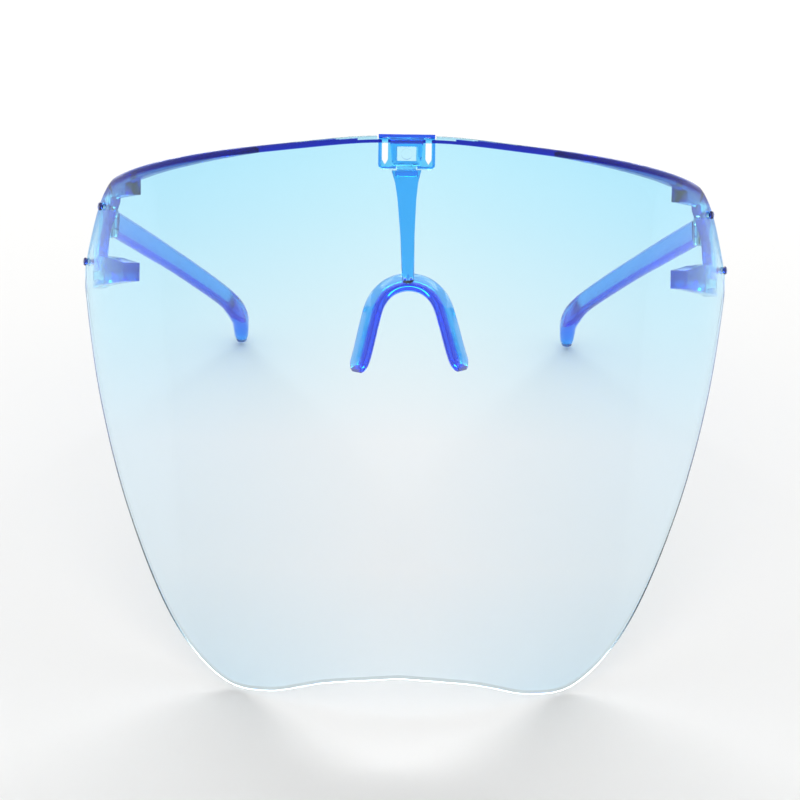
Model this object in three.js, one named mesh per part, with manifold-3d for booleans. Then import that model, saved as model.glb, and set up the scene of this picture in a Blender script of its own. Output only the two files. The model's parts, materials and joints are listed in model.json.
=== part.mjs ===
// Full-face shield glasses: one wrapped, tinted shield carried on two folding temples, with a nose
// saddle hung from a clip on the shield's top edge. The glasses stand as they do when laid down
// open: on the two lower lobes of the shield and on the tips of the temples.
//
// Units are millimetres. Each piece is drawn upright in the wearer's frame (+X to one side, +Y back
// towards the ears, +Z up, zero at the front of the shield), and the whole is tilted at the end.

import * as THREE from 'three';
import { mergeVertices } from 'three/addons/utils/BufferGeometryUtils.js';
import Module from 'manifold-3d';

const wasm = await Module();
wasm.setup();

// ---- driving dimensions -------------------------------------------------------------------------

const FIT_GAP = 0.3;                 // air left between two pieces that touch

// the shield's outer face is half an ellipse in plan, as wide as this and as deep as this
const WRAP_HALF_WIDTH = 86.5;
const WRAP_DEPTH = 100;
const LENS_THICKNESS = 2.2;
const LENS_COLUMNS = 88;             // upright strips that the wrapped sheet is made of
const LENS_EDGE_ANGLE = 73.6;        // degrees round the ellipse to the widest point

// edges of the shield as [degrees round the ellipse, height], from the middle to the widest point
const LENS_TOP = [
  [0, 63.8], [8, 63.6], [20, 62.3], [38, 60.6], [50, 59.1], [58, 57.6], [61.2, 56.2], [65, 51.8],
  [69.5, 43.8], [LENS_EDGE_ANGLE, 36.2],
];
const LENS_BOTTOM = [
  [0, -67], [12, -68.3], [22, -70.5], [30.4, -67.6], [40.5, -54], [52.4, -27.3], [63, 0.5], [70.5, 22.5],
  [LENS_EDGE_ANGLE, 31.5],
];

// clip that straddles the middle of the shield's top edge
const CLIP = {
  halfWidth: 6.8, bottom: 55.9, top: 63.8, barHeight: 0.65,
  backFace: 4.0, backThickness: 1.1, cornerRadius: 1.0, wallWidth: 0.55, wallBack: 6.0,
  plateHalfTop: 4.1, plateHalfBottom: 3.5, plateFront: -1.5, plateThickness: 1.2,
};
const SLOT = { centre: 5.25, halfWidth: 0.73, bottom: 56.7, top: 62.2 };
const WINDOW = { halfWidth: 2.3, bottom: 57.4, top: 60.9, backMargin: 0.5 };
const BOSS = { radius: 1.32, height: 59.15, reach: 1.25 };

// stalk that hangs from the clip, as [height, half width], and the pegs that hold the saddle to it
const STALK_OUTLINE = [[56.6, 2.3], [55.6, 2.3], [55.5, 3.55], [52.5, 2.75], [48.6, 2.25], [40, 1.7], [31, 1.5]];
const STALK = { front: 2.9, thickness: 2.4, tenonThickness: 0.8, end: 28.0 };
const STALK_RIB = { halfWidth: 2.35, bottom: 54.2, top: 55.2, back: 7.2 };
const PEG = { radius: 0.32, offset: 0.75, height: 29.1 };

// nose saddle: the inner line of its front edge as [half gap, height], and how the sheet runs back
const SADDLE_LINE = [[0, 26.1], [3.2, 25.2], [5.4, 22.6], [6.8, 18], [8.4, 11.6], [10, 6.4]];
const SADDLE = { front: 5.7, depth: 7.5, flare: 3.5, thickness: 2.1, steps: 18 };

// the stalk hangs a little off upright in the clip's socket, and carries the saddle with it
const NOSE_LEAN = { degrees: 1.6, pivotHeight: 55.5 };

// bracket that joins each side of the shield to its temple, seen from the side as [back, height]
const BRACKET_PROFILE = [
  [45.5, 57.1], [50, 56.9], [58, 55.3], [64, 52.9], [72, 51.3], [84.5, 51.6], [84.5, 44.8], [79, 43.4],
  [75.8, 40], [74.6, 33], [73.5, 30.4], [45.5, 30.6], [45.5, 35.2], [54, 37], [61.5, 38], [60, 43.5],
  [53.2, 51], [53, 52.4], [45.5, 52.4], [45.5, 55.3], [36, 56.8], [26, 58.2], [18, 59.5], [12.5, 60.5],
  [12.5, 60.8], [18, 60.1], [26, 59.2], [36, 58.3],
];
const TAB_PROFILES = [
  [[45.5, 57.1], [50, 56.9], [55.5, 55.9], [55.5, 52.4], [45.5, 52.4]],
  [[45.5, 30.6], [45.5, 35.2], [54, 37], [61, 37.9], [61, 31.9], [72.5, 31.9], [73.5, 30.4]],
];
const BRACKET = { thickness: 1.9, tabThickness: 3.1, wrapAngles: [26, 32, 38, 44, 50, 56, 62, 67.5] };
const BRACKET_BEND = [[79.3, 69], [79.8, 73], [79.7, 77], [79.2, 81.5], [78, 86]];
const BRACKET_WINDOW = { near: 62.3, far: 72, bottom: 32.1, top: 34.5 };   // by the lower tab

// rivets through shield and bracket, as [degrees round the ellipse, height, depth of bracket gripped]
const RIVET_PLACES = { upper: [63.6, 50.2, 1.9], lower: [71.6, 37, 2.5] };
const RIVET = { radius: 0.6, headRadius: 1.05, headHeight: 0.6 };

// hinge between bracket and temple
const HINGE = { x: 77.4, y: 86.2, bottom: 44.8, top: 51.8, leaf: 1.9, radius: 1.9, hole: 1.1, screw: 0.8 };
const SCREW_HEAD = { radius: 1.45, height: 0.8, slot: 0.4 };

// temple: its middle line from root to tip, and its section as [share of length, height, thickness]
const TEMPLE_LINE = [
  [77.0, 88.6, 48.5], [70.5, 113.4, 45.2], [62.9, 142.4, 41.3], [54.2, 170, 36.2], [50.5, 181, 33.2],
  [48.3, 189, 29.6], [48.0, 194.6, 24.2],
];
const TEMPLE_SECTIONS = [
  [0, 6.8, 3.2], [0.2, 6.6, 3.2], [0.45, 6.1, 3.0], [0.8, 5.9, 3.0], [0.9, 6.5, 3.8], [0.955, 6.2, 4.4],
  [0.98, 5.4, 4.1], [1, 3.8, 3.0],
];
const TEMPLE_STEPS = 26;

const BLUE = 0x2f8fee;
const COLOURS = { lens: 0xbfe6fb, clip: BLUE, saddle: 0x3f9bf2, bracket: 0x5a8fe0, temple: 0x3b9cf0, metal: 0x8d9299 };

// ---- small helpers ------------------------------------------------------------------------------

const radians = THREE.MathUtils.degToRad;
const vector = (x, y, z) => new THREE.Vector3(x, y, z);

function toSolid(geometry) {
  const bare = geometry.clone();
  bare.deleteAttribute('normal');
  bare.deleteAttribute('uv');
  const merged = mergeVertices(bare, 1e-5);
  return new wasm.Manifold(new wasm.Mesh({
    numProp: 3,
    vertProperties: Float32Array.from(merged.attributes.position.array),
    triVerts: Uint32Array.from(merged.index.array),
  }));
}

function toGeometry(solid) {
  const mesh = solid.getMesh();
  const geometry = new THREE.BufferGeometry();
  geometry.setAttribute('position', new THREE.BufferAttribute(Float32Array.from(mesh.vertProperties), 3));
  geometry.setIndex(Array.from(mesh.triVerts));
  return geometry;
}

// the same piece for the other side of the face
function mirrored(geometry) {
  const copy = geometry.clone();
  const position = copy.attributes.position;
  for (let i = 0; i < position.count; i += 1) position.setX(i, -position.getX(i));
  const index = Array.from(copy.index.array);
  for (let i = 0; i < index.length; i += 3) [index[i], index[i + 1]] = [index[i + 1], index[i]];
  copy.setIndex(index);
  return copy;
}

function outline(points) {
  return new THREE.Shape(points.map(([x, y]) => new THREE.Vector2(x, y)));
}

// an outline in X and Z, made solid from y = near to y = far
function frontPrism(points, near, far) {
  const geometry = new THREE.ExtrudeGeometry(outline(points), { depth: far - near, bevelEnabled: false });
  return geometry.rotateX(Math.PI / 2).translate(0, far, 0);
}

// an outline in Y and Z, made solid from x = near to x = far
function sidePrism(points, near, far) {
  const geometry = new THREE.ExtrudeGeometry(outline(points), { depth: far - near, bevelEnabled: false });
  return geometry.rotateY(Math.PI / 2).rotateX(Math.PI / 2).translate(near, 0, 0);
}

function box(x0, x1, y0, y1, z0, z1) {
  const geometry = new THREE.BoxGeometry(x1 - x0, y1 - y0, z1 - z0);
  return geometry.translate((x0 + x1) / 2, (y0 + y1) / 2, (z0 + z1) / 2);
}

function uprightCylinder(radius, x, y, z0, z1, sides = 24) {
  const geometry = new THREE.CylinderGeometry(radius, radius, z1 - z0, sides);
  return geometry.rotateX(Math.PI / 2).translate(x, y, (z0 + z1) / 2);
}

function cylinderAlongY(radius, x, z, y0, y1, sides = 20) {
  return new THREE.CylinderGeometry(radius, radius, y1 - y0, sides).translate(x, (y0 + y1) / 2, z);
}

// a closed solid through a row of rings that all have the same number of points
function loft(rings) {
  const size = rings[0].length;
  const index = [];
  for (let r = 0; r + 1 < rings.length; r += 1) {
    for (let i = 0; i < size; i += 1) {
      const a = r * size + i;
      const b = r * size + (i + 1) % size;
      index.push(a, b, a + size, b, b + size, a + size);
    }
  }
  const last = (rings.length - 1) * size;
  for (let i = 1; i + 1 < size; i += 1) {
    index.push(0, i + 1, i);
    index.push(last, last + i, last + i + 1);
  }
  const geometry = new THREE.BufferGeometry();
  geometry.setAttribute('position', new THREE.Float32BufferAttribute(rings.flat().flatMap((p) => p.toArray()), 3));
  geometry.setIndex(index);
  return geometry;
}

// a sheet that stands upright on a line in plan: each column has an outer and an inner foot in plan,
// and a low and a high end
function standingSheet(columns) {
  return loft(columns.map(({ outer, inner, low, high }) => [
    vector(outer.x, outer.y, low), vector(outer.x, outer.y, high),
    vector(inner.x, inner.y, high), vector(inner.x, inner.y, low),
  ]));
}

// ---- the wrap of the shield ---------------------------------------------------------------------

// direction in plan that points from the outer face of the shield towards the wearer
function wrapInward(angle) {
  const t = radians(angle);
  return new THREE.Vector2(-WRAP_DEPTH * Math.sin(t), WRAP_HALF_WIDTH * Math.cos(t)).normalize();
}

// a point in plan at an angle round the ellipse, set in from the outer face
function wrapPoint(angle, inset = 0) {
  const t = radians(angle);
  const outer = new THREE.Vector2(WRAP_HALF_WIDTH * Math.sin(t), WRAP_DEPTH * (1 - Math.cos(t)));
  return outer.addScaledVector(wrapInward(angle), inset);
}

// height of an edge of the shield at an angle, read off a smooth line through the edge's points
function edgeReader(points) {
  const curve = new THREE.SplineCurve(points.map(([angle, height]) => new THREE.Vector2(angle, height)));
  return (angle) => {
    const wanted = Math.abs(angle);
    let [low, high] = [0, 1];
    for (let i = 0; i < 40; i += 1) {
      const middle = (low + high) / 2;
      if (curve.getPoint(middle).x < wanted) low = middle;
      else high = middle;
    }
    return curve.getPoint(high).y;
  };
}

// moves a piece drawn about the Z axis onto the shield, so that its +Z points towards the wearer
function ontoWrap(geometry, angle, height) {
  const inward = wrapInward(angle);
  const facing = new THREE.Quaternion().setFromUnitVectors(vector(0, 0, 1), vector(inward.x, inward.y, 0));
  const foot = wrapPoint(angle);
  return geometry.applyQuaternion(facing).translate(foot.x, foot.y, height);
}

function wrapHole(radius, angle, height) {
  const drill = new THREE.CylinderGeometry(radius, radius, 16, 16).rotateX(Math.PI / 2);
  return ontoWrap(drill, angle, height);
}

// ---- shield -------------------------------------------------------------------------------------

function makeShieldLens() {
  const top = edgeReader(LENS_TOP);
  const bottom = edgeReader(LENS_BOTTOM);
  const columns = [];
  for (let i = 0; i <= LENS_COLUMNS; i += 1) {
    const angle = LENS_EDGE_ANGLE * (1 - 2 * i / LENS_COLUMNS);
    columns.push({
      outer: wrapPoint(angle), inner: wrapPoint(angle, LENS_THICKNESS), low: bottom(angle), high: top(angle),
    });
  }
  let lens = toSolid(standingSheet(columns));
  const boss = cylinderAlongY(BOSS.radius, 0, BOSS.height, -BOSS.reach, LENS_THICKNESS / 2);
  lens = lens.add(toSolid(boss));

  // notch under the clip's bar, and the two slots that make a springy tongue of the middle
  const notchHalf = CLIP.halfWidth + FIT_GAP;
  const notchFloor = CLIP.top - CLIP.barHeight - FIT_GAP;
  lens = lens.subtract(toSolid(box(-notchHalf, notchHalf, -5, 8, notchFloor, 70)));
  for (const side of [-1, 1]) {
    const slot = slotOutline(side * SLOT.centre, SLOT.halfWidth, SLOT.bottom, notchFloor + 1);
    lens = lens.subtract(toSolid(frontPrism(slot, -5, 8)));
  }
  for (const makeSide of [(g) => g, mirrored]) {
    for (const [angle, height] of Object.values(RIVET_PLACES)) {
      const hole = wrapHole(RIVET.radius + FIT_GAP, angle, height);
      lens = lens.subtract(toSolid(makeSide(indexed(hole))));
    }
  }
  return toGeometry(lens);
}

// upright slot with a pointed lower end
function slotOutline(centre, halfWidth, bottom, top) {
  return [
    [centre - halfWidth, top], [centre - halfWidth, bottom + halfWidth * 1.6], [centre, bottom],
    [centre + halfWidth, bottom + halfWidth * 1.6], [centre + halfWidth, top],
  ];
}

function indexed(geometry) {
  return geometry.index ? geometry : mergeVertices(geometry);
}

// ---- nose clip, stalk and saddle ----------------------------------------------------------------

// upright plate with rounded lower corners, from y = near to y = far
function traySolid(halfWidth, bottom, radius, near, far) {
  const shape = new THREE.Shape();
  shape.moveTo(-halfWidth, CLIP.top);
  shape.lineTo(-halfWidth, bottom + radius);
  shape.absarc(-halfWidth + radius, bottom + radius, radius, Math.PI, 1.5 * Math.PI, false);
  shape.absarc(halfWidth - radius, bottom + radius, radius, 1.5 * Math.PI, 2 * Math.PI, false);
  shape.lineTo(halfWidth, CLIP.top);
  const plate = new THREE.ExtrudeGeometry(shape, { depth: far - near, bevelEnabled: false, curveSegments: 5 });
  return toSolid(plate.rotateX(Math.PI / 2).translate(0, far, 0));
}

function makeNoseClip() {
  const { halfWidth, bottom, top, barHeight, backFace, backThickness, cornerRadius } = CLIP;
  const { wallWidth, wallBack } = CLIP;
  const { plateHalfTop, plateHalfBottom, plateFront, plateThickness } = CLIP;

  // shallow tray behind the shield, rounded at its lower corners, with a wall round its rim
  const rim = traySolid(halfWidth, bottom, cornerRadius, backFace - backThickness, wallBack);
  const hollow = traySolid(
    halfWidth - wallWidth, bottom + wallWidth, cornerRadius - wallWidth, backFace, wallBack + 1);
  let clip = rim.subtract(hollow);

  // bar over the top edge, and the tapered plate that comes down in front
  clip = clip.add(toSolid(box(-halfWidth, halfWidth, plateFront, wallBack, top - barHeight, top)));
  const plate = [
    [-plateHalfTop, top], [-plateHalfBottom, bottom + 0.4], [plateHalfBottom, bottom + 0.4], [plateHalfTop, top],
  ];
  clip = clip.add(toSolid(frontPrism(plate, plateFront, plateFront + plateThickness)));

  // window in the front plate, and a wider one behind it in the tray
  const { halfWidth: windowHalf, bottom: windowBottom, top: windowTop, backMargin } = WINDOW;
  clip = clip.subtract(toSolid(box(-windowHalf, windowHalf, -5, 0, windowBottom, windowTop)));
  const backHalf = windowHalf + backMargin;
  clip = clip.subtract(toSolid(box(-backHalf, backHalf, 0, 8, windowBottom, windowTop + backMargin)));
  for (const side of [-1, 1]) {
    const slot = slotOutline(side * SLOT.centre, SLOT.halfWidth, SLOT.bottom, SLOT.top);
    clip = clip.subtract(toSolid(frontPrism(slot, -5, 8)));
  }

  // socket in the underside for the stalk's tenon
  const socketHalf = STALK_OUTLINE[0][1] + FIT_GAP;
  const socketTop = STALK_OUTLINE[0][0] + FIT_GAP;
  const socketFront = STALK.front + FIT_GAP;
  const socket = box(-socketHalf, socketHalf, socketFront, wallBack + 1, bottom - 1, socketTop);
  return toGeometry(clip.subtract(toSolid(socket)));
}

function makeNoseStalk() {
  const right = STALK_OUTLINE.slice(2).map(([height, half]) => [half, height]);
  const endRadius = right[right.length - 1][0];
  const round = [];
  for (let i = 1; i < 8; i += 1) {
    const turn = Math.PI * i / 8;
    round.push([endRadius * Math.cos(turn), STALK.end + endRadius * (1 - Math.sin(turn))]);
  }
  const left = right.map(([half, height]) => [-half, height]).reverse();
  const back = STALK.front + STALK.thickness;
  let stalk = toSolid(frontPrism([...right, ...round, ...left], STALK.front, back));

  const [tenonTop, tenonHalf] = STALK_OUTLINE[0];
  const tenonFront = STALK.front + 2 * FIT_GAP;
  const tenon = box(-tenonHalf, tenonHalf, tenonFront, tenonFront + STALK.tenonThickness, 54, tenonTop);
  stalk = stalk.add(toSolid(tenon));
  const { halfWidth, bottom, top, back: ribBack } = STALK_RIB;
  stalk = stalk.add(toSolid(box(-halfWidth, halfWidth, back - 1, ribBack, bottom, top)));
  for (const side of [-1, 1]) {
    const hole = cylinderAlongY(PEG.radius + FIT_GAP, side * PEG.offset, PEG.height, 0, 10, 14);
    stalk = stalk.subtract(toSolid(hole));
  }
  return toGeometry(stalk);
}

// an arch of thin sheet that opens wider towards the face, with two pegs for the stalk
function makeNoseSaddle() {
  const half = SADDLE_LINE.map(([x, z]) => new THREE.Vector2(x, z));
  const whole = [...half.slice(1).map((p) => new THREE.Vector2(-p.x, p.y)).reverse(), ...half];
  const curve = new THREE.SplineCurve(whole);
  const rings = [];
  const count = 2 * SADDLE.steps;
  for (let i = 0; i <= count; i += 1) {
    const share = i / count;
    const point = curve.getPoint(share);
    const tangent = curve.getTangent(share);
    const away = vector(-tangent.y, 0, tangent.x);           // out of the arch
    const fromEnd = Math.min(i, count - i);
    const slim = [0.45, 0.8, 0.95][fromEnd] ?? 1;             // the legs end rounded
    const middle = vector(point.x, SADDLE.front, point.y).addScaledVector(away, SADDLE.thickness / 2);
    const corner = (out, back) => middle.clone()
      .addScaledVector(away, slim * out * SADDLE.thickness / 2 + back * SADDLE.flare)
      .add(vector(0, SADDLE.depth * (0.5 + slim * (back - 0.5)), 0));
    rings.push([corner(-1, 0), corner(1, 0), corner(1, 0.5), corner(1, 1), corner(-1, 1), corner(-1, 0.5)]);
  }
  let saddle = toSolid(loft(rings.reverse()));
  for (const side of [-1, 1]) {
    const peg = cylinderAlongY(PEG.radius, side * PEG.offset, PEG.height, STALK.front, SADDLE.front + 3, 10);
    saddle = saddle.add(toSolid(peg));
  }
  return toGeometry(saddle);
}

function leant(geometry) {
  const { degrees, pivotHeight } = NOSE_LEAN;
  return geometry.translate(0, 0, -pivotHeight).rotateY(-radians(degrees)).translate(0, 0, pivotHeight);
}

// ---- side brackets and rivets -------------------------------------------------------------------

// upright sheet that follows the inside of the shield and then bends in towards the hinge
function bracketSheet(thickness) {
  const inset = LENS_THICKNESS + FIT_GAP;
  const feet = BRACKET.wrapAngles.map((angle) => wrapPoint(angle, inset));
  const bend = BRACKET_BEND.map(([x, y]) => new THREE.Vector2(x, y));
  const curve = new THREE.SplineCurve([...feet, ...bend]);
  const columns = [];
  const steps = 54;
  for (let i = 0; i <= steps; i += 1) {
    const outer = curve.getPoint(1 - i / steps);
    const tangent = curve.getTangent(1 - i / steps);
    const inner = outer.clone().addScaledVector(new THREE.Vector2(-tangent.y, tangent.x), thickness);
    columns.push({ outer, inner, low: 28, high: 62 });
  }
  return toSolid(standingSheet(columns));
}

function makeBracket() {
  let bracket = bracketSheet(BRACKET.thickness).intersect(toSolid(sidePrism(BRACKET_PROFILE, 30, 95)));
  const thick = bracketSheet(BRACKET.tabThickness);
  for (const profile of TAB_PROFILES) {
    bracket = bracket.add(thick.intersect(toSolid(sidePrism(profile, 30, 95))));
  }

  // two hinge leaves with a gap between them for the temple's tongue
  const { x, y, bottom, top, leaf, radius, hole } = HINGE;
  for (const [z0, z1] of [[bottom, bottom + leaf], [top - leaf, top]]) {
    bracket = bracket.add(toSolid(uprightCylinder(radius, x, y, z0, z1)));
    bracket = bracket.add(toSolid(box(x - radius * 0.6, x + radius, y - 3.5, y, z0, z1)));
  }
  const gap = uprightCylinder(radius + 0.6, x, y, bottom + leaf, top - leaf);
  bracket = bracket.subtract(toSolid(gap));
  bracket = bracket.subtract(toSolid(uprightCylinder(hole, x, y, bottom - 1, top + 1)));

  const { near, far, bottom: windowBottom, top: windowTop } = BRACKET_WINDOW;
  bracket = bracket.subtract(toSolid(box(60, 90, near, far, windowBottom, windowTop)));
  for (const [angle, height] of Object.values(RIVET_PLACES)) {
    bracket = bracket.subtract(toSolid(wrapHole(RIVET.radius + FIT_GAP, angle, height)));
  }
  return toGeometry(bracket);
}

// headed pin through shield and bracket, closed over a little on the inside
function makeRivet([angle, height, grip]) {
  const { radius, headRadius, headHeight } = RIVET;
  const inside = LENS_THICKNESS + FIT_GAP + grip + FIT_GAP;
  const profile = [
    [0, -FIT_GAP - headHeight], [headRadius * 0.8, -FIT_GAP - headHeight],
    [headRadius, -FIT_GAP - headHeight * 0.55], [headRadius, -FIT_GAP], [radius, -FIT_GAP],
    [radius, inside], [headRadius * 0.95, inside], [headRadius * 0.8, inside + 0.5], [0, inside + 0.5],
  ].map(([r, z]) => new THREE.Vector2(r, z));
  const rivet = new THREE.LatheGeometry(profile, 16).rotateX(Math.PI / 2);
  return toGeometry(toSolid(ontoWrap(rivet, angle, height)));
}

// ---- temples and hinge screws -------------------------------------------------------------------

// temple section: a flat oblong with its four corners taken off
function templeRing(middle, tangent, height, thickness) {
  const up = vector(0, 0, 1).addScaledVector(tangent, -tangent.z).normalize();
  const across = new THREE.Vector3().crossVectors(tangent, up);
  const chamfer = 0.28 * thickness;
  const [h, w] = [height / 2, thickness / 2];
  const corners = [
    [w, -h + chamfer], [w, h - chamfer], [w - chamfer, h], [-w + chamfer, h],
    [-w, h - chamfer], [-w, -h + chamfer], [-w + chamfer, -h], [w - chamfer, -h],
  ];
  return corners.map(([s, t]) => middle.clone().addScaledVector(across, s).addScaledVector(up, t));
}

function sectionAt(share) {
  const after = TEMPLE_SECTIONS.findIndex(([start]) => start >= share);
  if (after <= 0) return TEMPLE_SECTIONS[0].slice(1);
  const [s0, h0, w0] = TEMPLE_SECTIONS[after - 1];
  const [s1, h1, w1] = TEMPLE_SECTIONS[after];
  const mix = (share - s0) / (s1 - s0);
  return [h0 + mix * (h1 - h0), w0 + mix * (w1 - w0)];
}

function makeTemple() {
  const curve = new THREE.CatmullRomCurve3(TEMPLE_LINE.map(([x, y, z]) => vector(x, y, z)));
  const shares = [];
  for (let i = 0; i <= TEMPLE_STEPS; i += 1) shares.push(i / TEMPLE_STEPS);
  shares.splice(TEMPLE_STEPS, 0, 0.985);
  const rings = shares.map((share) => {
    const [height, thickness] = sectionAt(share);
    return templeRing(curve.getPointAt(share), curve.getTangentAt(share), height, thickness);
  });
  let temple = toSolid(loft(rings.reverse()));

  // tongue that turns between the bracket's leaves
  const { x, y, bottom, top, leaf, radius, hole } = HINGE;
  const [z0, z1] = [bottom + leaf + FIT_GAP, top - leaf - FIT_GAP];
  temple = temple.add(toSolid(uprightCylinder(radius, x, y, z0, z1)));
  temple = temple.add(toSolid(box(x - 1.5, x + 0.9, y, y + 4.5, z0, z1)));
  return toGeometry(temple.subtract(toSolid(uprightCylinder(hole, x, y, bottom, top))));
}

function makeHingeScrew() {
  const { x, y, bottom, top, screw } = HINGE;
  const headFoot = top + FIT_GAP;
  const profile = [
    [0, bottom - 0.2], [screw, bottom - 0.2], [screw, headFoot], [SCREW_HEAD.radius, headFoot],
    [SCREW_HEAD.radius, headFoot + SCREW_HEAD.height * 0.6],
    [SCREW_HEAD.radius * 0.8, headFoot + SCREW_HEAD.height], [0, headFoot + SCREW_HEAD.height],
  ].map(([r, z]) => new THREE.Vector2(r, z));
  const body = new THREE.LatheGeometry(profile, 20).rotateX(Math.PI / 2).translate(x, y, 0);
  const head = headFoot + SCREW_HEAD.height;
  const slot = box(x - 3, x + 3, y - SCREW_HEAD.slot / 2, y + SCREW_HEAD.slot / 2, head - 0.35, head + 1);
  return toGeometry(toSolid(body).subtract(toSolid(slot)));
}

// ---- assembly -----------------------------------------------------------------------------------

const glasses = new THREE.Group();

function addPiece(name, geometry, color, roughness, metalness = 0) {
  const mesh = new THREE.Mesh(geometry, new THREE.MeshStandardMaterial({ color, roughness, metalness }));
  mesh.name = name;
  glasses.add(mesh);
  return mesh;
}

const lens = addPiece('shield_lens', makeShieldLens(), COLOURS.lens, 0.05);
addPiece('nose_clip', makeNoseClip(), COLOURS.clip, 0.15);
addPiece('nose_stalk', leant(makeNoseStalk()), COLOURS.clip, 0.15);
addPiece('nose_saddle', leant(makeNoseSaddle()), COLOURS.saddle, 0.25);

const sidePieces = [
  ['bracket', makeBracket(), COLOURS.bracket, 0.15, 0],
  ['rivet_upper', makeRivet(RIVET_PLACES.upper), COLOURS.clip, 0.2, 0],
  ['rivet_lower', makeRivet(RIVET_PLACES.lower), COLOURS.clip, 0.2, 0],
  ['temple', makeTemple(), COLOURS.temple, 0.15, 0],
  ['hinge_screw', makeHingeScrew(), COLOURS.metal, 0.3, 1],
];
let temple;
for (const [name, geometry, ...finish] of sidePieces) {
  const right = addPiece(`${name}_right`, geometry, ...finish);
  addPiece(`${name}_left`, mirrored(geometry), ...finish);
  if (name === 'temple') temple = right;
}

// height of a piece's lowest point once the glasses lean back by an angle
function lowestPoint(mesh, lean) {
  const position = mesh.geometry.attributes.position;
  let lowest = Infinity;
  for (let i = 0; i < position.count; i += 1) {
    lowest = Math.min(lowest, position.getZ(i) * Math.cos(lean) - position.getY(i) * Math.sin(lean));
  }
  return lowest;
}

// the lean at which the shield's lobes and the temples' tips stand on one surface
function restingLean() {
  let [low, high] = [0, Math.PI / 3];
  for (let i = 0; i < 50; i += 1) {
    const middle = (low + high) / 2;
    if (lowestPoint(temple, middle) > lowestPoint(lens, middle)) low = middle;
    else high = middle;
  }
  return high;
}

glasses.rotation.x = -restingLean();
const object = new THREE.Group();
object.add(glasses);
object.updateMatrixWorld(true);
const extent = new THREE.Box3().setFromObject(object, true);
const centre = extent.getCenter(new THREE.Vector3());
glasses.position.set(-centre.x, -centre.y, -extent.min.z);

export default object;
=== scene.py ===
import json
import math

import bmesh
import bpy
from mathutils import Matrix, Vector


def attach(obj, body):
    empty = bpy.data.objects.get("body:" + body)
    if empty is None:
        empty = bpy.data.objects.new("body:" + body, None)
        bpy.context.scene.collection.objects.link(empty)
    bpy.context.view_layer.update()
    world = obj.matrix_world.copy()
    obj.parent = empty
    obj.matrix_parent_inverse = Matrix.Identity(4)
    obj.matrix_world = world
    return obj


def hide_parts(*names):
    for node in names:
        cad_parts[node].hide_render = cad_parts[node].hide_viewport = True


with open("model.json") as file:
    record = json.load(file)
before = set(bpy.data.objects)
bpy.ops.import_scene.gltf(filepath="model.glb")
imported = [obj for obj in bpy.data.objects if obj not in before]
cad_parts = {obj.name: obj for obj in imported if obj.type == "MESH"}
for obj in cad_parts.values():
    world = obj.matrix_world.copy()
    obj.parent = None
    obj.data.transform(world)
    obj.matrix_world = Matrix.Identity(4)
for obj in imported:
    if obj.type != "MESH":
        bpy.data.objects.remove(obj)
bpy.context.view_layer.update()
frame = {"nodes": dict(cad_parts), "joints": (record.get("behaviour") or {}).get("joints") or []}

# ---- sizes: pieces are drawn upright in the wearer's frame, in millimetres ------------------------

# shield: half an ellipse in plan, with its edges as (degrees round it, height)
WRAP_HALF_WIDTH = 86.5
WRAP_DEPTH = 100
LENS_THICKNESS = 2.2
LENS_EDGE_ANGLE = 73.6
TOP_EDGE_DEPTH = 1.75                          # how far down the top edge's rounding reaches
LENS_TOP = [
    (0, 63.8), (8, 63.6), (20, 62.3), (38, 60.6), (50, 59.1), (58, 57.6), (61.2, 56.2), (65, 51.8),
    (69.5, 43.8), (LENS_EDGE_ANGLE, 36.2),
]
LENS_BOTTOM = [
    (0, -67), (12, -68.3), (22, -70.5), (30.4, -67.6), (40.5, -54), (52.4, -27.3), (63, 0.5),
    (70.5, 22.5), (LENS_EDGE_ANGLE, 31.5),
]
LENS_ROWS = 16                                 # steps up each face of the sheet
RIM_STEPS = 16                                 # steps round its top edge and its bottom edge
LENS_COLUMNS = 200                             # steps round the wrap, between the side ends
SIDE_END = {"degrees": 0.66, "steps": 6}       # the rounded ends of the wrap
SIDE_RIM = {"share": 0.9995, "backward": 0.5}  # faces this far out and facing back are rim
CREST = {"upward": 0.3, "start": 1, "reach": 34}   # the part of the top edge's crest given the paler sheet colour: painted light from behind and above
THROUGH = (-5, 8)                              # cutters for the front reach through it in Y
NOTCH = {"half": 7.1, "floor": 62.85, "top": 70}
SLOT = {"centre": 5.25, "half": 0.73, "bottom": 56.7, "top": 63.85, "taper": 1.6}
BOSS = {"radius": 1.32, "height": 59.15, "reach": 1.25, "root": 1}
RIVET_HOLES = [(63.6, 50.2), (71.6, 37)]       # degrees round the wrap, height
RIVET_HOLE = {"radius": 0.9, "reach": 8, "sides": 24}

# nose saddle: inner line of its front edge as (half gap, height)
SADDLE_LINE = [(0, 26.1), (3.2, 25.2), (5.4, 22.6), (6.8, 18), (8.4, 11.6), (10, 6.4)]
SADDLE = {"front": 5.7, "depth": 7.5, "flare": 3.5, "thickness": 2.1, "steps": 96}
SADDLE_END = {"steps": 7, "thinnest": 0.12, "depth_kept": 0.55, "depth_lost": 0.45}
NOSE_LEAN = {"degrees": 1.6, "pivot_height": 55.5}
PEG = {"radius": 0.32, "offset": 0.75, "height": 29.1, "front": 2.9, "into_saddle": 3, "sides": 20}

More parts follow.
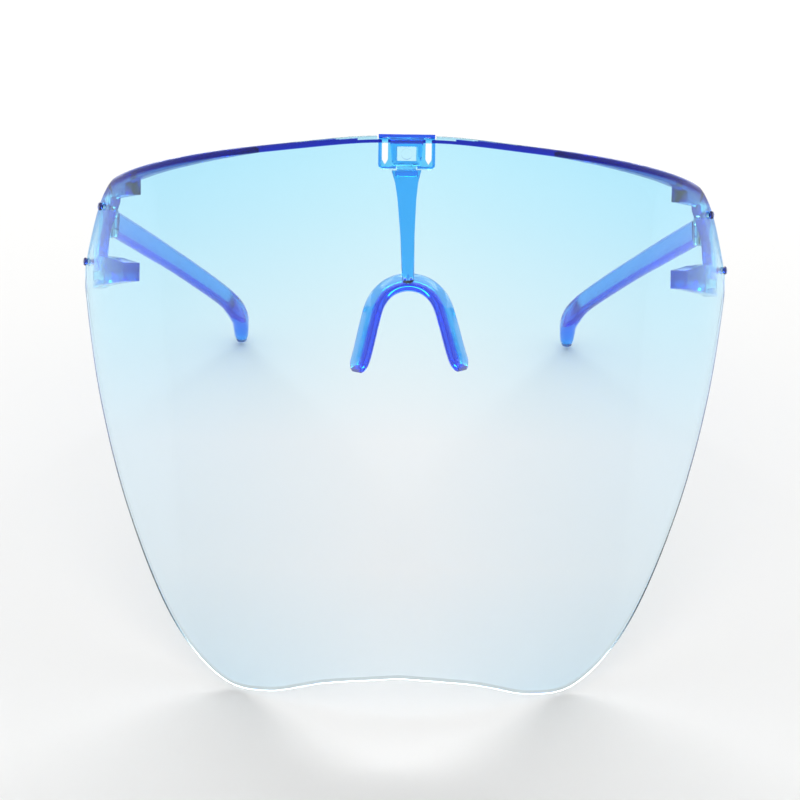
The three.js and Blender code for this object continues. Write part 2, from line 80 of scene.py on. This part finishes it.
# temple: middle line from root to tip, and its section as (share of length, height, thickness)
TEMPLE_LINE = [
    (77.0, 88.6, 48.5), (70.5, 113.4, 45.2), (62.9, 142.4, 41.3), (54.2, 170, 36.2),
    (50.5, 181, 33.2), (48.3, 189, 29.6), (48.0, 194.6, 24.2),
]
TEMPLE_SECTIONS = [
    (0, 6.8, 3.2), (0.2, 6.6, 3.2), (0.45, 6.1, 3.0), (0.8, 5.9, 3.0), (0.9, 6.5, 3.8),
    (0.955, 6.0, 4.4), (0.98, 5.1, 4.1), (1, 3.7, 3.0),
]
TEMPLE_STEPS = 110
HINGE = {"x": 77.4, "y": 86.2, "bottom": 47.0, "middle": 48.3, "top": 49.6, "radius": 1.9}
HINGE_HOLE = {"radius": 1.1, "low": 40, "high": 60}
HINGE_ROOT = {"inward": 1.5, "outward": 0.9, "length": 4.5}

TAB_END = 58                                   # how far back the brackets' tabs reach, in Y
TAB_FADE = 4                                   # behind that they turn pale over this stretch

DRAWN_SMOOTH = 40                              # edges sharper than this many degrees stay sharp
CAD_SMOOTH = 35

# ---- frame: how the upright pieces are laid down --------------------------------------------------

HINGE_CENTRE = Vector((HINGE["x"], HINGE["y"], HINGE["middle"]))
hinge = next(joint for joint in frame["joints"] if joint["name"] == "temple_right_fold")
LEAN = math.atan2(hinge["axis"][1], hinge["axis"][2])
LAY_DOWN = (
    Matrix.Translation(Vector(hinge["pos_m"]))
    @ Matrix.Rotation(-LEAN, 4, "X")
    @ Matrix.Scale(0.001, 4)
    @ Matrix.Translation(-HINGE_CENTRE)
)
UP = (0.0, math.sin(LEAN), math.cos(LEAN))     # the wearer's upright, in the row frame
BACK = (0.0, math.cos(LEAN), -math.sin(LEAN))  # from the shield to the ears, in the row frame


def row_distance(point, direction):
    """How far a point of the wearer's frame lies along a direction of the row frame."""
    return (LAY_DOWN @ Vector(point)).dot(Vector(direction))


# ---- smooth lines ---------------------------------------------------------------------------------

FINE_STEPS = 2000                              # for measuring along a line
HALVINGS = 36                                  # for finding an angle on an edge


def catmull(points, share):
    """The point at a share of a smooth line through the points, each span taking an equal share."""
    spans = len(points) - 1
    i = min(int(share * spans), spans - 1)
    t = share * spans - i
    p0, p1, p2, p3 = (Vector(points[k]) for k in (max(i - 1, 0), i, i + 1, min(i + 2, spans)))
    v1 = (p2 - p0) / 2
    v2 = (p3 - p1) / 2
    cubed = 2 * p1 - 2 * p2 + v1 + v2
    squared = 3 * p2 - 3 * p1 - 2 * v1 - v2
    return cubed * t**3 + squared * t**2 + v1 * t + p1


def even_points(points, count):
    """Points at even steps along the smooth line, with the direction at each."""
    fine = [catmull(points, k / FINE_STEPS) for k in range(FINE_STEPS + 1)]
    run = [0.0]
    for a, b in zip(fine, fine[1:]):
        run.append(run[-1] + (b - a).length)
    found = []
    k = 0
    for i in range(count + 1):
        wanted = run[-1] * i / count
        while k < FINE_STEPS - 1 and run[k + 1] < wanted:
            k += 1
        mix = (wanted - run[k]) / max(run[k + 1] - run[k], 1e-9)
        found.append((fine[k].lerp(fine[k + 1], mix), (fine[k + 1] - fine[k]).normalized()))
    return found


def edge_height(edge, angle):
    """Height of a shield edge at an angle round the ellipse."""
    points = [(degrees, height, 0) for degrees, height in edge]
    wanted = abs(angle)
    low = 0.0
    high = 1.0
    for _ in range(HALVINGS):
        middle = (low + high) / 2
        if catmull(points, middle).x < wanted:
            low = middle
        else:
            high = middle
    return catmull(points, high).y


def wrap_inward(angle):
    """Direction from the outer face of the shield towards its inner face."""
    t = math.radians(angle)
    return Vector((-WRAP_DEPTH * math.sin(t), WRAP_HALF_WIDTH * math.cos(t), 0)).normalized()


def wrap_point(angle, inset=0.0):
    """A point of the shield's plan, on its outer face or set in from it."""
    t = math.radians(angle)
    outer = Vector((WRAP_HALF_WIDTH * math.sin(t), WRAP_DEPTH * (1 - math.cos(t)), 0))
    return outer + wrap_inward(angle) * inset


def table_value(rows, share):
    """Values read from rows of (share, value, value...), eased from row to row."""
    for (s0, *v0), (s1, *v1) in zip(rows, rows[1:]):
        if share <= s1:
            mix = (share - s0) / (s1 - s0)
            mix = mix * mix * (3 - 2 * mix)
            return [a + mix * (b - a) for a, b in zip(v0, v1)]
    return list(rows[-1][1:])


# ---- meshes ---------------------------------------------------------------------------------------

SHEET_INDEX = 0
RIM_INDEX = 1


def lofted(rings, rim_strips=()):
    """A closed bmesh through rings of equal size. The strips named in rim_strips are rim."""
    mesh = bmesh.new()
    rows = [[mesh.verts.new(p) for p in ring] for ring in rings]
    size = len(rings[0])
    for near, far in zip(rows, rows[1:]):
        for i in range(size):
            j = (i + 1) % size
            face = mesh.faces.new((near[i], near[j], far[j], far[i]))
            face.material_index = RIM_INDEX if i in rim_strips else SHEET_INDEX
    for row in (rows[0][::-1], rows[-1]):
        face = mesh.faces.new(row)
        face.material_index = RIM_INDEX if rim_strips else SHEET_INDEX
    bmesh.ops.recalc_face_normals(mesh, faces=mesh.faces)
    return mesh


def rod(radius, start, end, sides=32):
    """A round bar from start to end."""
    start = Vector(start)
    end = Vector(end)
    turn = (end - start).to_track_quat("Z", "Y").to_matrix()
    angles = [2 * math.pi * k / sides for k in range(sides)]
    circle = [Vector((radius * math.cos(a), radius * math.sin(a), 0)) for a in angles]
    return lofted([[foot + turn @ point for point in circle] for foot in (start, end)])


def block(x0, x1, y0, y1, z0, z1):
    ring = [(x0, y0), (x1, y0), (x1, y1), (x0, y1)]
    return lofted([[Vector((x, y, z)) for x, y in ring] for z in (z0, z1)])


def prism(outline, y0, y1):
    """An outline in X and Z, made solid from y0 to y1."""
    return lofted([[Vector((x, y, z)) for x, z in outline] for y in (y0, y1)])


def rounded_section(centre, across, back, half_across, half_back, corner=0.45, steps=5):
    """A rounded oblong about a centre, spanned by two directions."""
    r = corner * min(half_across, half_back) * 2
    ring = []
    for sx, sy, start in ((1, 1, 0), (-1, 1, 90), (-1, -1, 180), (1, -1, 270)):
        for k in range(steps):
            turn = math.radians(start + 90 * k / (steps - 1))
            u = sx * (half_across - r) + r * math.cos(turn)
            v = sy * (half_back - r) + r * math.sin(turn)
            ring.append(centre + across * u + back * v)
    return ring


def to_object(name, mesh):
    """A linked object from a bmesh, which it frees."""
    data = bpy.data.meshes.new(name)
    mesh.to_mesh(data)
    mesh.free()
    piece = bpy.data.objects.new(name, data)
    bpy.context.scene.collection.objects.link(piece)
    return piece


def apply_modifiers(piece):
    graph = bpy.context.evaluated_depsgraph_get()
    data = bpy.data.meshes.new_from_object(piece.evaluated_get(graph))
    piece.modifiers.clear()
    piece.data = data


def cut(piece, cutters, operation="DIFFERENCE"):
    """Cuts or joins cutter meshes into a piece, for good."""
    for k, cutter in enumerate(cutters):
        tool = to_object(f"cutter_{k}", cutter)
        modifier = piece.modifiers.new("cut", "BOOLEAN")
        modifier.operation = operation
        modifier.solver = "EXACT"
        modifier.object = tool
        apply_modifiers(piece)
        bpy.data.objects.remove(tool)


def settle(piece, body, materials, smooth):
    """Gives a piece its materials and smooth shading, and ties it to its body."""
    indices = [polygon.material_index for polygon in piece.data.polygons]
    piece.data.materials.clear()
    for material in materials:
        piece.data.materials.append(material)
    for polygon, index in zip(piece.data.polygons, indices):
        polygon.material_index = min(index, len(materials) - 1)
        polygon.use_smooth = True
    piece.data.set_sharp_from_angle(angle=math.radians(smooth))
    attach(piece, body)


def finish_piece(piece, body, node, materials):
    """Lays a drawn piece down in the row frame, and has it stand for its CAD node."""
    piece.data.transform(LAY_DOWN)
    piece.data.update()
    settle(piece, body, materials, DRAWN_SMOOTH)
    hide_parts(node)


# ---- materials ------------------------------------------------------------------------------------

TINT_HEIGHTS = (-70, 64)                       # the shield's tint is given over these heights
TAB_HEIGHTS = (30, 60)                         # and the brackets' tabs over these
CLEAR = (1.0, 1.0, 1.0)
TAB_NAVY = (0.10, 0.14, 0.5)
LENS_IOR = 1.45                                # below polycarbonate's 1.585, for a brighter sheet
RIM_IOR = 1.4
PLASTIC_IOR = 1.585
EVEN = (1, 1, 1)                               # relief that is stretched in no direction


def node_material(name):
    material = bpy.data.materials.new(name)
    material.use_nodes = True
    nodes = material.node_tree.nodes
    return material, nodes, material.node_tree.links, nodes["Principled BSDF"], nodes["Material Output"]


def share_along(nodes, links, place, direction, start, end):
    """0 at one point of the wearer's frame and 1 at another, measured along a direction."""
    dot = nodes.new("ShaderNodeVectorMath")
    dot.operation = "DOT_PRODUCT"
    dot.inputs[1].default_value = direction
    links.new(place.outputs["Object"], dot.inputs[0])
    share = nodes.new("ShaderNodeMapRange")
    share.inputs["From Min"].default_value = row_distance(start, direction)
    share.inputs["From Max"].default_value = row_distance(end, direction)
    links.new(dot.outputs["Value"], share.inputs["Value"])
    return share.outputs["Result"]


def height_share(nodes, links, place, heights):
    """0 at the first height in the wearer's frame and 1 at the second."""
    low, high = heights
    return share_along(nodes, links, place, UP, (0, 0, low), (0, 0, high))


def sideways(nodes, links, place):
    """Distance from the middle plane, in metres."""
    parts = nodes.new("ShaderNodeSeparateXYZ")
    links.new(place.outputs["Object"], parts.inputs["Vector"])
    distance = nodes.new("ShaderNodeMath")
    distance.operation = "ABSOLUTE"
    links.new(parts.outputs["X"], distance.inputs[0])
    return distance.outputs["Value"]


def ramp(nodes, links, source, stops):
    """Colours read from stops of (place, colour)."""
    node = nodes.new("ShaderNodeValToRGB")
    while len(node.color_ramp.elements) < len(stops):
        node.color_ramp.elements.new(0.5)
    for element, (position, colour) in zip(node.color_ramp.elements, stops):
        element.position = position
        element.color = (*colour, 1)
    links.new(source, node.inputs["Fac"])
    return node.outputs["Color"]


def ranged(nodes, links, source, low, high):
    """A value from 0 to 1 made to run from low to high."""
    node = nodes.new("ShaderNodeMapRange")
    node.inputs["To Min"].default_value = low
    node.inputs["To Max"].default_value = high
    links.new(source, node.inputs["Value"])
    return node.outputs["Result"]


def multiplied(nodes, links, first, second):
    """The node that multiplies two colours, fully unless its Fac is linked."""
    both = nodes.new("ShaderNodeMixRGB")
    both.blend_type = "MULTIPLY"
    both.inputs["Fac"].default_value = 1
    links.new(first, both.inputs["Color1"])
    links.new(second, both.inputs["Color2"])
    return both


def fine_relief(nodes, links, place, shader, scale, stretch, strength, distance):
    """Faint flow marks in the moulded surface. Returns their pattern."""
    spread = nodes.new("ShaderNodeMapping")
    spread.inputs["Scale"].default_value = stretch
    links.new(place.outputs["Object"], spread.inputs["Vector"])
    noise = nodes.new("ShaderNodeTexNoise")
    noise.inputs["Scale"].default_value = scale
    noise.inputs["Detail"].default_value = 3
    links.new(spread.outputs["Vector"], noise.inputs["Vector"])
    bump = nodes.new("ShaderNodeBump")
    bump.inputs["Strength"].default_value = strength
    bump.inputs["Distance"].default_value = distance
    links.new(noise.outputs["Fac"], bump.inputs["Height"])
    links.new(bump.outputs["Normal"], shader.inputs["Normal"])
    return noise.outputs["Fac"]


def lens_material():
    """The sheet: sky blue at the brow, clear lower down, and bluish again at the foot, which is painted
    light: it stands in for the blue-tinted light on the floor seen through the lower sheet.
    """
    material, nodes, links, shader, _ = node_material("lens_tinted_polycarbonate")
    place = nodes.new("ShaderNodeTexCoord")
    # the bluish first stop (0.0) is painted light, for the blue-tinted light on the floor seen through
    # the sheet's foot; the other stops are the sheet's dye
    colour_by_height = ramp(nodes, links, height_share(nodes, links, place, TINT_HEIGHTS), [
        (0.0, (0.86, 0.95, 1.0)), (0.22, CLEAR), (0.45, (0.96, 0.985, 1.0)),
        (0.68, (0.73, 0.93, 1.0)), (0.86, (0.58, 0.885, 1.0)), (1.0, (0.49, 0.855, 1.0)),
    ])
    # the light crosses the sheet at a slant towards its sides, which deepens the tint there;
    # the ramp runs over 100 mm from the middle
    slant = ramp(nodes, links, ranged(nodes, links, sideways(nodes, links, place), 0, 10), [
        (0.05, CLEAR), (0.8, (0.81, 0.935, 1.0)),
    ])
    both = multiplied(nodes, links, colour_by_height, slant)
    links.new(both.outputs["Color"], shader.inputs["Base Color"])
    marks = fine_relief(nodes, links, place, shader, 60, (1, 1, 0.4), 0.02, 0.0002)
    links.new(ranged(nodes, links, marks, 0.0, 0.03), shader.inputs["Roughness"])
    shader.inputs["Transmission Weight"].default_value = 1
    shader.inputs["IOR"].default_value = LENS_IOR
    return material


def rim_material():
    """The rounded edge, where the tint shows through the whole width of the sheet."""
    material, nodes, links, shader, _ = node_material("lens_rim_polycarbonate")
    place = nodes.new("ShaderNodeTexCoord")
    colour_by_height = ramp(nodes, links, height_share(nodes, links, place, TINT_HEIGHTS), [
        (0.0, (0.72, 0.80, 0.82)), (0.45, (0.62, 0.74, 0.80)), (0.80, (0.42, 0.60, 0.80)),
        (0.90, (0.10, 0.22, 0.70)), (0.94, (0.004, 0.02, 0.48)), (1.0, (0.002, 0.012, 0.42)),
    ])
    links.new(colour_by_height, shader.inputs["Base Color"])
    marks = fine_relief(nodes, links, place, shader, 900, EVEN, 0.06, 0.0001)
    links.new(ranged(nodes, links, marks, 0.08, 0.2), shader.inputs["Roughness"])
    shader.inputs["Transmission Weight"].default_value = 1
    shader.inputs["IOR"].default_value = RIM_IOR
    return material


def blue_material(name, colour, density, roughness, scale=500, stretch=EVEN, navy_tabs=False):
    """Clear plastic coloured through its whole depth: thin walls pale, long ways through it navy."""
    material, nodes, links, shader, output = node_material(name)
    place = nodes.new("ShaderNodeTexCoord")
    marks = fine_relief(nodes, links, place, shader, scale, stretch, 0.05, 0.0002)
    low, high = roughness
    links.new(ranged(nodes, links, marks, low, high), shader.inputs["Roughness"])
    surface = ramp(nodes, links, marks, [(0.3, (0.93, 0.97, 1.0)), (0.7, (0.98, 0.99, 1.0))])
    if navy_tabs:
        surface = darkened_tabs(nodes, links, place, surface)
    links.new(surface, shader.inputs["Base Color"])
    shader.inputs["Transmission Weight"].default_value = 1
    shader.inputs["IOR"].default_value = PLASTIC_IOR
    depth = nodes.new("ShaderNodeVolumeAbsorption")
    depth.inputs["Color"].default_value = (*colour, 1)
    depth.inputs["Density"].default_value = density
    links.new(depth.outputs["Volume"], output.inputs["Volume"])
    return material


def darkened_tabs(nodes, links, place, surface):
    """A surface colour made near navy on the thick upper halves of a bracket's two tabs."""
    tabs = ramp(nodes, links, height_share(nodes, links, place, TAB_HEIGHTS), [
        (0.07, CLEAR), (0.10, TAB_NAVY), (0.30, TAB_NAVY), (0.36, CLEAR),
        (0.75, CLEAR), (0.78, TAB_NAVY), (0.93, TAB_NAVY),
    ])
    both = multiplied(nodes, links, surface, tabs)
    behind = (0, TAB_END + TAB_FADE, 0)
    near = share_along(nodes, links, place, BACK, behind, (0, TAB_END, 0))
    links.new(near, both.inputs["Fac"])
    return both.outputs["Color"]


def steel_material():
    """Plated steel with fine turning marks."""
    material, nodes, links, shader, _ = node_material("hinge_screw_steel")
    place = nodes.new("ShaderNodeTexCoord")
    marks = fine_relief(nodes, links, place, shader, 4000, (1, 1, 6), 0.15, 0.00005)
    links.new(ranged(nodes, links, marks, 0.22, 0.42), shader.inputs["Roughness"])
    tone = ramp(nodes, links, marks, [(0.3, (0.42, 0.43, 0.46)), (0.7, (0.62, 0.63, 0.66))])
    links.new(tone, shader.inputs["Base Color"])
    shader.inputs["Metallic"].default_value = 1
    return material


def floor_material():
    """Matt, nearly white, with a very faint unevenness of tone."""
    material, nodes, links, shader, _ = node_material("studio_sweep")
    place = nodes.new("ShaderNodeTexCoord")
    noise = nodes.new("ShaderNodeTexNoise")
    noise.inputs["Scale"].default_value = 2.5
    links.new(place.outputs["Object"], noise.inputs["Vector"])
    stops = [(0.3, (0.81, 0.81, 0.805)), (0.7, (0.83, 0.83, 0.826))]
    tone = ramp(nodes, links, noise.outputs["Fac"], stops)
    links.new(tone, shader.inputs["Base Color"])
    shader.inputs["Roughness"].default_value = 0.9
    shader.inputs["Specular IOR Level"].default_value = 0.1
    return material


LENS = lens_material()
RIM = rim_material()
CLIP_BLUE = blue_material("clip_blue_plastic", (0.0, 0.785, 0.99), 1450, (0.02, 0.08))
SADDLE_BLUE = blue_material("saddle_blue_plastic", (0.0, 0.76, 0.99), 1350, (0.03, 0.1))
TEMPLE_BLUE = blue_material(
    "temple_blue_plastic", (0.0, 0.76, 0.99), 1050, (0.08, 0.2), scale=400, stretch=(1, 0.25, 1)
)
BRACKET_BLUE = blue_material(
    "bracket_blue_plastic", (0.0, 0.83, 0.99), 540, (0.06, 0.16), navy_tabs=True
)
STUD_BLUE = blue_material("stud_blue_plastic", (0.0, 0.3, 0.8), 3000, (0.05, 0.15))
STEEL = steel_material()


# ---- shield ---------------------------------------------------------------------------------------

def lens_sections(inner):
    """(angle, thinning) of every section, from the right side end to the left."""
    turns = [math.pi / 2 * k / SIDE_END["steps"] for k in range(1, SIDE_END["steps"])]
    rounded = [
        (LENS_EDGE_ANGLE - SIDE_END["degrees"] * (1 - math.cos(turn)), math.sin(turn))
        for turn in turns
    ]
    even = [(inner * (1 - 2 * k / LENS_COLUMNS), 1.0) for k in range(LENS_COLUMNS + 1)]
    return rounded + even + [(-angle, thinning) for angle, thinning in reversed(rounded)]


def lens_section(angle, thinning):
    """Round-edged upright section of the sheet, thinner than it where thinning is below 1."""
    radius = LENS_THICKNESS / 2
    low = edge_height(LENS_BOTTOM, angle) + radius
    high = edge_height(LENS_TOP, angle) - TOP_EDGE_DEPTH
    rise = high - low
    rows = range(LENS_ROWS + 1)
    turns = [math.pi * k / RIM_STEPS for k in range(1, RIM_STEPS)]
    crown = TOP_EDGE_DEPTH * thinning
    outline = [(-1, low + rise * k / LENS_ROWS) for k in rows]
    outline += [(-math.cos(turn), high + crown * math.sin(turn)) for turn in turns]
    outline += [(1, high - rise * k / LENS_ROWS) for k in rows]
    outline += [(math.cos(turn), low - radius * thinning * math.sin(turn)) for turn in turns]
    middle = wrap_point(angle, radius)
    inward = wrap_inward(angle)
    return [middle + inward * out * radius * thinning + Vector((0, 0, z)) for out, z in outline]


def mark_rims(lens, inner):
    """Makes the side ends rim, and paints light on the crest of the top edge about the middle by giving
    it the paler sheet colour.
    """
    side = wrap_point(inner).x * SIDE_RIM["share"]
    for polygon in lens.data.polygons:
        off_middle = abs(polygon.center.x)
        upward = polygon.normal.z
        if off_middle > side and polygon.normal.y > SIDE_RIM["backward"]:
            polygon.material_index = RIM_INDEX
        # the flatter a face of the crest lies, the farther out it gets the paler sheet colour, as
        # painted light from above and behind
        if upward > CREST["upward"] and off_middle < CREST["start"] + CREST["reach"] * upward:
            polygon.material_index = SHEET_INDEX


def slot_outline(side):
    """The slot beside the clip's window, narrowing to a point at its foot."""
    x0 = side * SLOT["centre"] - SLOT["half"]
    x1 = side * SLOT["centre"] + SLOT["half"]
    middle = (x0 + x1) / 2
    foot = SLOT["bottom"] + SLOT["taper"] * SLOT["half"]
    top = SLOT["top"]
    return [(x0, top), (x0, foot), (middle, SLOT["bottom"]), (x1, foot), (x1, top)]


def rivet_hole(side, angle, height):
    centre = wrap_point(angle) + Vector((0, 0, height))
    run = wrap_inward(angle) * RIVET_HOLE["reach"]
    start = centre - run
    end = centre + run
    start.x *= side
    end.x *= side
    return rod(RIVET_HOLE["radius"], start, end, RIVET_HOLE["sides"])


def make_shield_lens():
    top_rim = range(LENS_ROWS, LENS_ROWS + RIM_STEPS)
    bottom_rim = range(2 * LENS_ROWS + RIM_STEPS, 2 * LENS_ROWS + 2 * RIM_STEPS)
    inner = LENS_EDGE_ANGLE - SIDE_END["degrees"]
    rings = [lens_section(angle, thinning) for angle, thinning in lens_sections(inner)]
    lens = to_object("shield", lofted(rings, {*top_rim, *bottom_rim}))
    lens.data.materials.append(LENS)
    lens.data.materials.append(RIM)
    mark_rims(lens, inner)

    cutters = [block(-NOTCH["half"], NOTCH["half"], *THROUGH, NOTCH["floor"], NOTCH["top"])]
    for side in (-1, 1):
        cutters.append(prism(slot_outline(side), *THROUGH))
        cutters += [rivet_hole(side, angle, height) for angle, height in RIVET_HOLES]
    cut(lens, cutters)

    tip = (0, -BOSS["reach"], BOSS["height"])
    root = (0, BOSS["root"], BOSS["height"])
    boss = rod(BOSS["radius"], tip, root)
    for face in boss.faces:
        round_side = abs(face.normal.y) < 0.5
        face.material_index = RIM_INDEX if round_side else SHEET_INDEX
    cut(lens, [boss], "UNION")
    finish_piece(lens, "front", "shield_lens", [LENS, RIM])


# ---- saddle ---------------------------------------------------------------------------------------

def saddle_ring(point, tangent, steps_from_end):
    """The saddle's section at a point of its line, slimmer near the two ends."""
    away = Vector((-tangent.y, 0, tangent.x))
    foot = Vector((point.x, SADDLE["front"], point.y))
    from_end = min(1.0, steps_from_end / SADDLE_END["steps"])
    slim = math.sqrt(max(0.0, 1 - (1 - from_end) ** 2))
    slim = max(slim, SADDLE_END["thinnest"])
    half_thick = SADDLE["thickness"] / 2
    half_deep = math.hypot(SADDLE["depth"], SADDLE["flare"]) / 2
    lean = (Vector((0, SADDLE["depth"], 0)) + away * SADDLE["flare"]).normalized()
    across = away - lean * away.dot(lean)
    across.normalize()
    centre = foot + away * (half_thick + SADDLE["flare"] / 2) + Vector((0, SADDLE["depth"] / 2, 0))
    half_deep *= SADDLE_END["depth_kept"] + SADDLE_END["depth_lost"] * slim
    return rounded_section(centre, across, lean, half_thick * slim, half_deep)


def saddle_peg(side):
    """One of the two pegs that hold the saddle on the stalk."""
    x = side * PEG["offset"]
    start = (x, PEG["front"], PEG["height"])
    end = (x, SADDLE["front"] + PEG["into_saddle"], PEG["height"])
    return rod(PEG["radius"], start, end, PEG["sides"])


def make_nose_saddle():
    right = [(x, z, 0) for x, z in SADDLE_LINE]
    left = [(-x, z, 0) for x, z in reversed(SADDLE_LINE[1:])]
    count = SADDLE["steps"]
    points = even_points(left + right, count)
    rings = [saddle_ring(*spot, min(i, count - i)) for i, spot in enumerate(points)]
    saddle = to_object("saddle", lofted(rings))
    cut(saddle, [saddle_peg(side) for side in (-1, 1)], "UNION")
    pivot = Matrix.Translation((0, 0, NOSE_LEAN["pivot_height"]))
    lean_over = Matrix.Rotation(-math.radians(NOSE_LEAN["degrees"]), 4, "Y")
    saddle.data.transform(pivot @ lean_over @ pivot.inverted())
    finish_piece(saddle, "front", "nose_saddle", [SADDLE_BLUE])


# ---- temples --------------------------------------------------------------------------------------

def temple_ring(middle, tangent, share):
    """The temple's section at a share of its length."""
    height, thickness = table_value(TEMPLE_SECTIONS, share)
    up = (Vector((0, 0, 1)) - tangent * tangent.z).normalized()
    across = tangent.cross(up)
    return rounded_section(middle, across, up, thickness / 2, height / 2, corner=0.42, steps=6)


def make_temple(side):
    """A temple, drawn on the right-hand side and mirrored for the left."""
    points = even_points(TEMPLE_LINE, TEMPLE_STEPS)
    rings = [temple_ring(*spot, i / TEMPLE_STEPS) for i, spot in enumerate(points)]
    temple = to_object(f"temple_arm_{side}", lofted(rings))
    x, y, low, high = (HINGE[key] for key in ("x", "y", "bottom", "top"))
    x0 = x - HINGE_ROOT["inward"]
    x1 = x + HINGE_ROOT["outward"]
    root = block(x0, x1, y, y + HINGE_ROOT["length"], low, high)
    barrel = rod(HINGE["radius"], (x, y, low), (x, y, high), 40)
    cut(temple, [root, barrel], "UNION")
    cut(temple, [rod(HINGE_HOLE["radius"], (x, y, HINGE_HOLE["low"]), (x, y, HINGE_HOLE["high"]))])
    if side == "left":
        temple.data.transform(Matrix.Scale(-1, 4, Vector((1, 0, 0))))
        temple.data.flip_normals()
    finish_piece(temple, f"arm_{side}", f"temple_{side}", [TEMPLE_BLUE])


# ---- pieces that keep their CAD shape, with eased edges -------------------------------------------

SAME_POINT = 1e-7                              # metres
FLAT_ANGLE = 0.6                               # faces meeting at less than this become one
EDGE_ANGLE = 40                                # edges sharper than this are rounded


def ease_edges(name, node, material, width):
    """A copy of a CAD node of the front, with its flats rejoined and its sharp edges rounded."""
    mesh = bmesh.new()
    mesh.from_mesh(frame["nodes"][node].data)
    bmesh.ops.remove_doubles(mesh, verts=mesh.verts, dist=SAME_POINT)
    bmesh.ops.dissolve_limit(
        mesh, angle_limit=math.radians(FLAT_ANGLE), verts=mesh.verts, edges=mesh.edges, delimit=set()
    )
    piece = to_object(name, mesh)
    bevel = piece.modifiers.new("ease", "BEVEL")
    bevel.width = width / 1000
    bevel.segments = 2
    bevel.limit_method = "ANGLE"
    bevel.angle_limit = math.radians(EDGE_ANGLE)
    bevel.use_clamp_overlap = False
    apply_modifiers(piece)
    settle(piece, "front", [material], CAD_SMOOTH)
    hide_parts(node)


make_shield_lens()
make_nose_saddle()
make_temple("right")
make_temple("left")
ease_edges("clip", "nose_clip", CLIP_BLUE, 0.06)
ease_edges("stalk", "nose_stalk", CLIP_BLUE, 0.1)
for side in ("right", "left"):
    ease_edges(f"end_bracket_{side}", f"bracket_{side}", BRACKET_BLUE, 0.05)
    ease_edges(f"pin_{side}", f"hinge_screw_{side}", STEEL, 0.05)
    for level in ("upper", "lower"):
        ease_edges(f"stud_{level}_{side}", f"rivet_{level}_{side}", STUD_BLUE, 0.05)


# ---- floor, light and camera ----------------------------------------------------------------------

FLOOR_CORNERS = [(-4, -3, 0), (4, -3, 0), (4, 6, 0), (-4, 6, 0)]
FLOOR_DROP = 0.00005                           # keeps the floor off the pieces that rest on it
WORLD_COLOUR = (1, 0.996, 0.99, 1)
WORLD_STRENGTH = 0.79
CAMERA = {
    "place": (0, -919.4, -32.1),               # in the wearer's frame, in millimetres
    "tilt": 2,
    "roll": 0.8,
    "sensor": 36,
    "lens": 172.53,
    "shift": -0.004125,
    "clip_start": 0.05,
}


def make_floor():
    mesh = bmesh.new()
    mesh.faces.new([mesh.verts.new(corner) for corner in FLOOR_CORNERS])
    floor = to_object("studio_floor", mesh)
    floor.location.z = -FLOOR_DROP
    floor.data.materials.append(floor_material())


def area_light(name, place, size, power):
    """An oblong light aimed at the middle of the floor."""
    light = bpy.data.lights.new(name, "AREA")
    light.shape = "RECTANGLE"
    light.size, light.size_y = size
    light.energy = power
    holder = bpy.data.objects.new(name, light)
    bpy.context.scene.collection.objects.link(holder)
    holder.location = place
    holder.rotation_euler = (-Vector(place)).to_track_quat("-Z", "Y").to_euler()
    return holder


def make_light():
    """An even bright room, with a low strip behind that draws the shadows forward."""
    world = bpy.data.worlds.new("soft_studio")
    world.use_nodes = True
    background = world.node_tree.nodes["Background"]
    background.inputs["Color"].default_value = WORLD_COLOUR
    background.inputs["Strength"].default_value = WORLD_STRENGTH
    bpy.context.scene.world = world
    area_light("back_softbox", (0, 1.6, 1.3), (2.4, 1.4), 5)
    strip = area_light("low_back_strip", (0, 3.5, 0.8), (4, 0.3), 225)
    strip.visible_glossy = False


def make_camera():
    """The camera looks along the wearer's Y, a little upward, and is rolled a little."""
    centre = LAY_DOWN @ Vector(CAMERA["place"])
    tilt = math.radians(CAMERA["tilt"])
    roll = math.radians(CAMERA["roll"])
    ahead = Matrix.Rotation(-LEAN, 3, "X") @ Vector((0, math.cos(tilt), math.sin(tilt)))
    right = Vector((1, 0, 0))
    up = right.cross(ahead)
    rolled_up = up * math.cos(roll) - right * math.sin(roll)
    rolled_right = right * math.cos(roll) + up * math.sin(roll)
    camera = bpy.data.cameras.new("photo_camera")
    camera.sensor_width = CAMERA["sensor"]
    camera.lens = CAMERA["lens"]
    camera.shift_x = CAMERA["shift"]
    camera.clip_start = CAMERA["clip_start"]
    holder = bpy.data.objects.new("photo_camera", camera)
    bpy.context.scene.collection.objects.link(holder)
    basis = Matrix((rolled_right, rolled_up, -ahead)).transposed().to_4x4()
    holder.matrix_world = Matrix.Translation(centre) @ basis
    bpy.context.scene.camera = holder


make_floor()
make_light()
make_camera()
scene = bpy.context.scene
scene.view_settings.view_transform = "Standard"
scene.cycles.max_bounces = 32                  # light bounces many times inside the clear pieces
scene.cycles.glossy_bounces = 24
scene.cycles.transmission_bounces = 32
